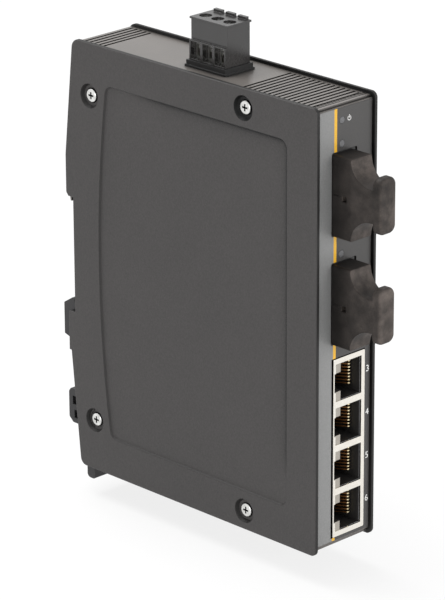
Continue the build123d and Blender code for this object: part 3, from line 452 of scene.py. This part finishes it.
for finish, names in nodeFinish.items():
    for name in names:
        for place in nodes[name].material_slots:
            place.material = finishes[finish]
print("finishes assigned")


# helpers for the modelled pieces
def nothingSelected():
    if bpy.context.mode != "OBJECT":
        bpy.ops.object.mode_set(mode="OBJECT")
    bpy.ops.object.select_all(action="DESELECT")


def onlySelected(piece):
    nothingSelected()
    piece.select_set(True)
    bpy.context.view_layer.objects.active = piece


def settle(piece, name, finish, body):
    # place goes into the mesh, then finish, slot and body are set
    onlySelected(piece)
    bpy.ops.object.transform_apply(location=True, rotation=True, scale=True)
    piece.name = name
    piece.data.name = name
    piece.data.materials.clear()
    piece.data.materials.append(finish)
    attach(piece, body)


# printed port numbers beside the sockets, and a plain on-off sign at the top
printLook = {
    "ink": (0.80, 0.80, 0.78), "grainScale": 3000, "grainShade": 0.86, "gloss": (0.4, 0.5),
    "size": 0.0029, "thick": 0.00004, "curveSteps": 6, "numberX": 0.0103,
    "numbers": {"3": -0.0169, "4": -0.0308, "5": -0.0448, "6": -0.0588},
    "signPlace": (0.00165, 0.0632), "signRadius": 0.00076, "signLine": 0.0002, "signSides": 32,
    "signGap": 0.42, "signBar": 0.0010, "barRise": 0.75,
}
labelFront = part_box("front_label")[0].y
facingFront = (math.pi / 2, 0, 0)


def printedInk(look):
    material, tree, shader = startMaterial("printedInk")
    grain = noise(tree, objectSpace(tree), look["grainScale"], 2)
    darker = tuple(look["grainShade"] * c for c in look["ink"])
    tree.links.new(ramp(tree, grain, zip(printGrain, (darker, look["ink"]))), shader.inputs["Base Color"])
    tree.links.new(spread(tree, grain, *look["gloss"]), shader.inputs["Roughness"])
    return material


def portNumbers(look):
    for number, height in look["numbers"].items():
        nothingSelected()
        bpy.ops.object.text_add(location=(look["numberX"], labelFront, height), rotation=facingFront)
        digit = bpy.context.object
        digit.data.body = number
        digit.data.size = look["size"]
        digit.data.align_x = "CENTER"
        digit.data.align_y = "CENTER"
        digit.data.extrude = look["thick"]
        digit.data.resolution_u = look["curveSteps"]
        bpy.ops.object.convert(target="MESH")
        settle(bpy.context.object, "portNumber" + number, finishes["printedInk"], "case")


def onOffSign(look):
    # a ring, opened at the top, with a short bar through the gap
    x, z = look["signPlace"]
    radius = look["signRadius"]
    nothingSelected()
    bpy.ops.mesh.primitive_circle_add(
        vertices=look["signSides"], radius=radius, fill_type="NGON", location=(x, labelFront, z),
        rotation=facingFront,
    )
    ring = bpy.context.object
    bpy.ops.object.mode_set(mode="EDIT")
    bpy.ops.mesh.inset(thickness=look["signLine"])
    bpy.ops.mesh.delete(type="FACE")
    bpy.ops.object.mode_set(mode="OBJECT")
    for face in ring.data.polygons:
        face.select = abs(face.center.x) < radius * look["signGap"] and face.center.y > 0
    bpy.ops.object.mode_set(mode="EDIT")
    bpy.ops.mesh.select_mode(type="FACE")
    bpy.ops.mesh.delete(type="FACE")
    bpy.ops.mesh.select_all(action="SELECT")
    bpy.ops.mesh.extrude_region_move(TRANSFORM_OT_translate={"value": (0, -look["thick"], 0)})
    bpy.ops.object.mode_set(mode="OBJECT")
    settle(ring, "onOffRing", finishes["printedInk"], "case")
    nothingSelected()
    bpy.ops.mesh.primitive_plane_add(
        size=look["signLine"], location=(x, labelFront, z + radius * look["barRise"]), rotation=facingFront,
    )
    bar = bpy.context.object
    bpy.ops.object.mode_set(mode="EDIT")
    bpy.ops.transform.resize(value=(1, 1, look["signBar"] / look["signLine"]))
    bpy.ops.mesh.extrude_region_move(TRANSFORM_OT_translate={"value": (0, -look["thick"], 0)})
    bpy.ops.object.mode_set(mode="OBJECT")
    settle(bar, "onOffBar", finishes["printedInk"], "case")


finishes["printedInk"] = printedInk(printLook)
portNumbers(printLook)
onOffSign(printLook)
print("print added")

# moulded lead-in lips round the sockets' cavities, open on the latch side
lipLook = {
    "left": -0.0010, "right": 0.00735, "high": 0.01175, "wide": 0.00022, "proud": 0.00024, "soften": 0.00006,
}


def softened(piece, width, segments=2, smoothAngle=40):
    bevel = piece.modifiers.new("soften", "BEVEL")
    bevel.width = width
    bevel.segments = segments
    onlySelected(piece)
    bpy.ops.object.modifier_apply(modifier="soften")
    bpy.ops.object.shade_smooth_by_angle(angle=math.radians(smoothAngle))


def portHeight(number):
    low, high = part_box("socket_contacts_" + number)
    return (low.z + high.z) / 2


def socketLips(look):
    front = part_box("socket_housing")[0].y
    first, *others = printLook["numbers"]
    left, right, wide = look["left"], look["right"], look["wide"]
    nothingSelected()
    bpy.ops.mesh.primitive_plane_add(
        size=1, location=((left + right) / 2, front, portHeight(first)), rotation=facingFront,
    )
    lip = bpy.context.object
    bpy.ops.object.mode_set(mode="EDIT")
    bpy.ops.transform.resize(value=(right - left + 2 * wide, 1, look["high"] + 2 * wide))
    bpy.ops.mesh.inset(thickness=wide)
    bpy.ops.mesh.delete(type="FACE")
    bpy.ops.object.mode_set(mode="OBJECT")
    for face in lip.data.polygons:
        face.select = face.center.x < -right / 2
    bpy.ops.object.mode_set(mode="EDIT")
    bpy.ops.mesh.select_mode(type="FACE")
    bpy.ops.mesh.delete(type="FACE")
    bpy.ops.mesh.select_all(action="SELECT")
    bpy.ops.mesh.extrude_region_move(TRANSFORM_OT_translate={"value": (0, -look["proud"], 0)})
    bpy.ops.mesh.select_all(action="SELECT")
    bpy.ops.mesh.normals_make_consistent(inside=False)
    bpy.ops.object.mode_set(mode="OBJECT")
    softened(lip, look["soften"])
    settle(lip, "socketLip" + first, finishes["pipePlastic"], "case")
    for number in others:
        onlySelected(lip)
        bpy.ops.object.duplicate()
        bpy.ops.transform.translate(value=(0, 0, portHeight(number) - portHeight(first)))
        settle(bpy.context.object, "socketLip" + number, finishes["pipePlastic"], "case")


socketLips(lipLook)
print("socket lips added")

# catch tongues on the dust caps, from the block's back edge to the square hole
tongueLook = {
    "capGap": 0.0001, "backGap": 0.0004, "holeGap": 0.00385, "rise": 0.00055, "high": 0.0003,
    "proud": 0.00012, "soften": 0.00005,
}


def capTongues(look):
    middle = labelFront - look["capGap"] - (look["backGap"] + look["holeGap"]) / 2
    for number, body in (("1", "upper_cap"), ("2", "lower_cap")):
        low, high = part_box("dust_cap_" + number)
        nothingSelected()
        bpy.ops.mesh.primitive_plane_add(
            size=1, rotation=(0, -math.pi / 2, 0),
            location=(low.x, middle, (low.z + high.z) / 2 + look["rise"]),
        )
        tongue = bpy.context.object
        bpy.ops.object.mode_set(mode="EDIT")
        bpy.ops.transform.resize(value=(1, look["holeGap"] - look["backGap"], look["high"]))
        bpy.ops.mesh.extrude_region_move(TRANSFORM_OT_translate={"value": (-look["proud"], 0, 0)})
        bpy.ops.mesh.select_all(action="SELECT")
        bpy.ops.mesh.normals_make_consistent(inside=False)
        bpy.ops.object.mode_set(mode="OBJECT")
        softened(tongue, look["soften"])
        settle(tongue, "capTongue" + number, finishes["capPlastic"], body)


capTongues(tongueLook)
print("cap tongues added")

# latch spring: a coil wound over the CAD spring's height, in place of the hidden CAD spring
coilLook = {
    "coilRadius": 0.00175, "wireRadius": 0.00025, "turns": 7, "sides": 10, "steps": 26, "smoothAngle": 50,
}


def coilSpring(look):
    low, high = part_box("latch_spring")
    centre = (0, (low.y + high.y) / 2, low.z + look["wireRadius"])
    rise = high.z - low.z - 2 * look["wireRadius"]
    nothingSelected()
    bpy.ops.mesh.primitive_circle_add(vertices=look["sides"], radius=look["wireRadius"], location=centre)
    coil = bpy.context.object
    bpy.ops.object.mode_set(mode="EDIT")
    bpy.ops.transform.rotate(value=math.pi / 2, orient_axis="X", center_override=centre)
    bpy.ops.transform.translate(value=(look["coilRadius"], 0, 0))
    bpy.ops.object.mode_set(mode="OBJECT")
    winding = coil.modifiers.new("winding", "SCREW")
    winding.axis = "Z"
    winding.steps = winding.render_steps = look["steps"]
    winding.iterations = look["turns"]
    winding.screw_offset = rise / look["turns"]
    onlySelected(coil)
    bpy.ops.object.modifier_apply(modifier="winding")
    bpy.ops.object.mode_set(mode="EDIT")
    bpy.ops.mesh.select_all(action="SELECT")
    bpy.ops.mesh.fill_holes(sides=0)
    bpy.ops.mesh.select_all(action="SELECT")
    bpy.ops.mesh.normals_make_consistent(inside=False)
    bpy.ops.object.mode_set(mode="OBJECT")
    bpy.ops.object.shade_smooth_by_angle(angle=math.radians(look["smoothAngle"]))
    settle(coil, "latchCoil", finishes["springWire"], "case")
    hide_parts("latch_spring")
    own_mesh(coil)


coilSpring(coilLook)
print("latch coil wound")

# floor, backdrop and lights
stageLook = {
    "floorDrop": 0.0052, "floorSize": 14.0, "floorColour": (0.90, 0.90, 0.90), "floorRough": 0.9,
    "floorSheen": 0.1, "whiteShare": 0.8, "skyStrength": 0.5,
}
whiteRays = ("Is Camera Ray", "Is Glossy Ray", "Is Transmission Ray")
lampTarget = (0, -0.05, 0)
lampLooks = {
    "keyLamp": {"place": (-1.05, -0.60, 0.15), "size": 0.8, "power": 5.6},
    "frontLamp": {"place": (0.40, -1.6, 0.20), "size": 1.0, "power": 16.5},
    "topLamp": {"place": (-0.1, 0.55, 1.5), "size": 1.2, "power": 26.0},
}


def seenBy(tree, kinds):
    # 1 for the named kinds of ray, 0 for the others
    path = addNode(tree, "ShaderNodeLightPath")
    seen = path.outputs[kinds[0]]
    for kind in kinds[1:]:
        seen = larger(tree, seen, path.outputs[kind])
    return seen


def blended(tree, factor, first, second):
    mix = addNode(tree, "ShaderNodeMixShader")
    tree.links.new(factor, mix.inputs[0])
    tree.links.new(first, mix.inputs[1])
    tree.links.new(second, mix.inputs[2])
    return mix.outputs[0]


def makeSky(look):
    world = bpy.data.worlds.new("studio")
    world.use_nodes = True
    bpy.context.scene.world = world
    tree = world.node_tree
    soft = tree.nodes["Background"]
    soft.inputs["Color"].default_value = (1, 1, 1, 1)
    soft.inputs["Strength"].default_value = look["skyStrength"]
    white = addNode(tree, "ShaderNodeBackground")
    white.inputs["Color"].default_value = (1, 1, 1, 1)
    white.inputs["Strength"].default_value = 1.0
    both = blended(tree, seenBy(tree, whiteRays), soft.outputs[0], white.outputs[0])
    tree.links.new(both, tree.nodes["World Output"].inputs["Surface"])


def makeFloor(look):
    nothingSelected()
    bpy.ops.mesh.primitive_plane_add(size=look["floorSize"], location=(0, 0, cadBox[0].z - look["floorDrop"]))
    floor = bpy.context.object
    floor.name = "studioFloor"
    material, tree, shader = startMaterial("floorPaper")
    shader.inputs["Base Color"].default_value = (*look["floorColour"], 1)
    shader.inputs["Roughness"].default_value = look["floorRough"]
    shader.inputs["Specular IOR Level"].default_value = look["floorSheen"]
    glow = addNode(tree, "ShaderNodeEmission")
    glow.inputs["Color"].default_value = (1, 1, 1, 1)
    share = combined(tree, "MULTIPLY", seenBy(tree, whiteRays), look["whiteShare"])
    paper = blended(tree, share, shader.outputs[0], glow.outputs[0])
    # seen from below the floor is clear, so the underside can be looked at
    clear = addNode(tree, "ShaderNodeBsdfTransparent")
    side = addNode(tree, "ShaderNodeNewGeometry")
    either = blended(tree, side.outputs["Backfacing"], paper, clear.outputs[0])
    tree.links.new(either, tree.nodes["Material Output"].inputs["Surface"])
    floor.data.materials.append(material)


def makeLamp(name, look):
    data = bpy.data.lights.new(name, "AREA")
    data.energy = look["power"]
    data.size = look["size"]
    lamp = bpy.data.objects.new(name, data)
    bpy.context.scene.collection.objects.link(lamp)
    lamp.location = look["place"]
    lamp.rotation_euler = (Vector(lampTarget) - lamp.location).to_track_quat("-Z", "Y").to_euler()


makeSky(stageLook)
makeFloor(stageLook)
for name, look in lampLooks.items():
    makeLamp(name, look)
bpy.context.scene.view_settings.view_transform = "Standard"
print("stage and lights ready")
